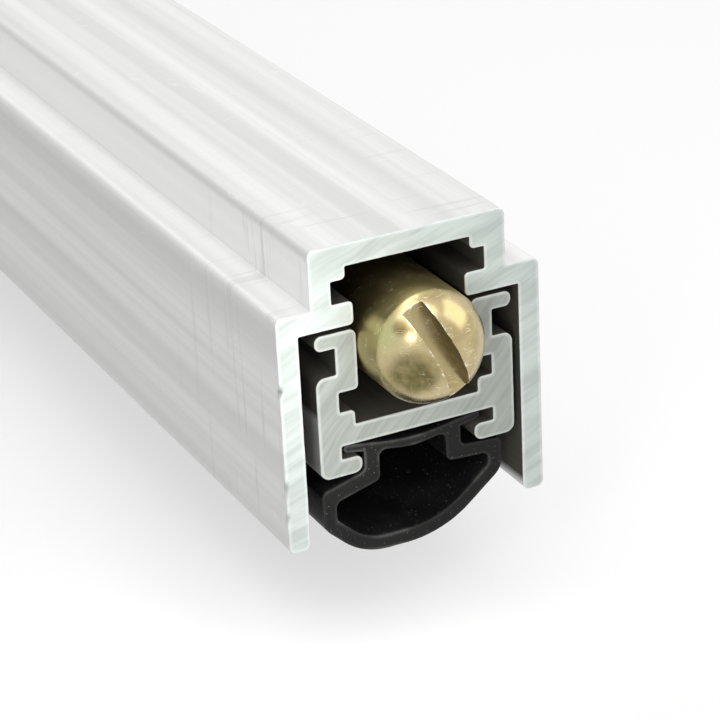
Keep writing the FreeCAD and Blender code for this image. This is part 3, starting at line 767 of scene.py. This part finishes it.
def plunger_profile():
    """The bore's floor and wall, the back, the barrel, a soft shoulder and the dome."""
    back, bore_end, bore = 145.7, 161.7, 2.55
    points = [(bore_end, 0), (bore_end, bore), (back, bore), (back, 3.7), (back + 0.4, BARREL)]
    points += [(DOME_BASE - 0.15, BARREL), (DOME_BASE - 0.03, 4.094), (DOME_BASE + 0.05, 4.08)]
    start = math.acos((DOME_BASE + 0.15 - DOME_TIP + BALL) / BALL)
    for step in range(25):
        angle = start * (1 - step / 24)
        points.append((DOME_TIP - BALL + BALL * math.cos(angle), BALL * math.sin(angle)))
    points[-1] = (DOME_TIP, 0)
    return points


def nick_at(along, place, width, depth):
    return max(0.0, 1 - abs(along - place) / width) * depth


def slot_slab(width, floor, turn):
    """Slab for the slot. Its walls wander a little, so that the slot's edges come out worn."""
    bm = bmesh.new()
    bmesh.ops.create_grid(bm, x_segments=36, y_segments=8, size=0.5)
    near = list(bm.verts)
    made = bmesh.ops.extrude_face_region(bm, geom=list(bm.faces))
    far = [v for v in made["geom"] if isinstance(v, bmesh.types.BMVert)]
    for verts, side in ((near, -1), (far, 1)):
        for vert in verts:
            along = vert.co.x * 9.5
            depth = vert.co.y + 0.5
            wander = noise.noise(Vector((along * 1.9, depth * 3.0, side * 5.0))) * 0.035 * (0.3 + depth)
            nick = nick_at(along, -1.6, 0.35, 0.10) if side < 0 else nick_at(along, 0.7, 0.3, 0.07)
            vert.co = Vector((floor + depth * 3.0, side * (width / 2 + wander + nick * max(0, depth - 0.35)), along))
    bmesh.ops.recalc_face_normals(bm, faces=bm.faces)
    spin = Matrix.Rotation(math.radians(turn), 4, "X")
    for vert in bm.verts:
        vert.co = (spin @ vert.co + Vector((0, 0, PLUNGER_AXIS))) * MM
    return shown("slot", bm, brass)


def mark_slot(mesh, width, floor, turn):
    """Dirt and painted shade in the slot, darker on its walls than on its floor, and wear along its edges."""
    dirt_and_shade = mesh.attributes.new("slot", "FLOAT", "FACE")
    wear = mesh.attributes.new("worn", "FLOAT", "POINT")
    unturn = Matrix.Rotation(-math.radians(turn), 3, "X")
    cut_points, dome_points = set(), set()
    for face in mesh.polygons:
        place = unturn @ (face.center / MM - Vector((0, 0, PLUNGER_AXIS)))
        facing = unturn @ face.normal
        on_floor = abs(place.x - floor) < 0.02 and abs(facing.x) > 0.9
        on_wall = place.x > floor and abs(facing.y) > 0.85 and abs(abs(place.y) - width / 2) < 0.2
        dirt_and_shade.data[face.index].value = 0.12 if on_floor else 0.92 if on_wall else 0.0
        (cut_points if on_floor or on_wall else dome_points).update(face.vertices)
    for index in cut_points & dome_points:
        wear.data[index].value = 1.0


plunger = turned("plunger_turned", plunger_profile(), (0, 0, PLUNGER_AXIS), (1, 0, 0), brass, steps=128)
cut_away(plunger, [slot_slab(SLOT_WIDTH, SLOT_FLOOR, SLOT_TURN)])
plunger.data.shade_smooth()
plunger.data.set_sharp_from_angle(angle=math.radians(24))
mark_slot(plunger.data, SLOT_WIDTH, SLOT_FLOOR, SLOT_TURN)
print("plunger:", len(plunger.data.polygons), "faces")

# %% [markdown]
# ## Return spring
# A coil follows a helix, so it is a Geometry Nodes tree: a spiral curve with a round section swept along
# it. The sizes are named inputs, and the result is turned into a plain mesh.

# %% Return spring
def start_tree(name, numbers):
    """Starts a Geometry Nodes tree with named number inputs."""
    tree = bpy.data.node_groups.new(name, "GeometryNodeTree")
    tree.interface.new_socket("Geometry", in_out="INPUT", socket_type="NodeSocketGeometry")
    for socket in numbers:
        tree.interface.new_socket(socket, in_out="INPUT", socket_type="NodeSocketFloat")
    tree.interface.new_socket("Geometry", in_out="OUTPUT", socket_type="NodeSocketGeometry")
    return tree, tree.nodes.new("NodeGroupInput").outputs, tree.nodes.new("NodeGroupOutput").inputs


def end_tree(tree, geometry, result, material):
    real = add_node(tree, "GeometryNodeRealizeInstances", {"Geometry": geometry}).outputs[0]
    coated = add_node(tree, "GeometryNodeSetMaterial", {"Geometry": real, "Material": material}).outputs[0]
    tree.links.new(coated, result["Geometry"])


def grown(name, tree, values):
    """Runs a tree on an empty mesh and keeps the result as a plain mesh at the origin."""
    base = bpy.data.meshes.new(name + "_base")
    piece = bpy.data.objects.new(name, base)
    bpy.context.scene.collection.objects.link(piece)
    modifier = piece.modifiers.new(name, "NODES")
    modifier.node_group = tree
    for socket in tree.interface.items_tree:
        if socket.item_type == "SOCKET" and socket.in_out == "INPUT" and socket.name in values:
            modifier[socket.identifier] = values[socket.name]
    bpy.context.view_layer.update()
    graph = bpy.context.evaluated_depsgraph_get()
    mesh = bpy.data.meshes.new_from_object(piece.evaluated_get(graph), depsgraph=graph)
    piece.modifiers.clear()
    piece.data = mesh
    mesh.name = name
    bpy.data.meshes.remove(base)
    return piece


def make_coil_tree():
    """A wire wound about the X axis, from Start and at Height."""
    tree, source, result = start_tree("coil", ("Turns", "Coil radius", "Wire radius", "Length", "Start", "Height"))
    spiral = add_node(tree, "GeometryNodeCurveSpiral", {
        "Resolution": 40, "Rotations": source["Turns"], "Start Radius": source["Coil radius"],
        "End Radius": source["Coil radius"], "Height": source["Length"]}).outputs[0]
    ring = add_node(tree, "GeometryNodeCurvePrimitiveCircle", {
        "Resolution": 14, "Radius": source["Wire radius"]}).outputs[0]
    wire = add_node(tree, "GeometryNodeCurveToMesh", {
        "Curve": spiral, "Profile Curve": ring, "Fill Caps": True}).outputs[0]
    place = add_node(tree, "ShaderNodeCombineXYZ", {0: source["Start"], 2: source["Height"]}).outputs[0]
    laid = add_node(tree, "GeometryNodeTransform", {
        "Geometry": wire, "Translation": place, "Rotation": (0, math.radians(90), 0)}).outputs[0]
    smooth = add_node(tree, "GeometryNodeSetShadeSmooth", {"Geometry": laid}).outputs[0]
    end_tree(tree, smooth, result, plated_steel)
    return tree


spring = grown("return_coil", make_coil_tree(), {
    "Turns": 8.0, "Coil radius": 2.8 * MM, "Wire radius": 0.35 * MM, "Length": 18.4 * MM,
    "Start": 103.4 * MM, "Height": PLUNGER_AXIS * MM})
print("spring:", len(spring.data.polygons), "faces")

# %% [markdown]
# ## Fixing the pieces to the frame
# Each new piece stands for its solid and moves with that solid's body. The solids that stay take their
# finish here. The spring is held by the fixed block at one end.

# %% Fixing the pieces to the frame
BODY_OF = {name: body for body, names in frame["record"]["behaviour"]["bodies"].items() for name in names}


def stands_for(piece, node):
    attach(piece, BODY_OF[node])
    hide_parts(node)


stands_for(housing, "housing")
stands_for(drop_bar, "drop_bar")
stands_for(seal, "seal")
stands_for(plunger, "plunger")
stands_for(spring, "return_spring")
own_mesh(spring)

CASTINGS = ("spring_block", "slide_block", "front_bracket", "rear_bracket", "front_shoe", "rear_shoe")
REPLACED = ("housing", "drop_bar", "seal", "plunger", "return_spring")
for name, node in frame["nodes"].items():
    node.data.materials.clear()
    node.data.materials.append(zinc if name in CASTINGS else plated_steel)
print("kept solids:", sorted(set(frame["nodes"]) - set(REPLACED)))

# %% [markdown]
# ## Sizes
# The dressed part's box less the measured solids' box is printed in millimetres.

# %% Sizes
new_low, new_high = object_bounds()
past = [round((a - b) / MM, 3) for a, b in zip([*new_low, *new_high], [*solid_low, *solid_high])]
print("visual box less solid box, mm:", past)
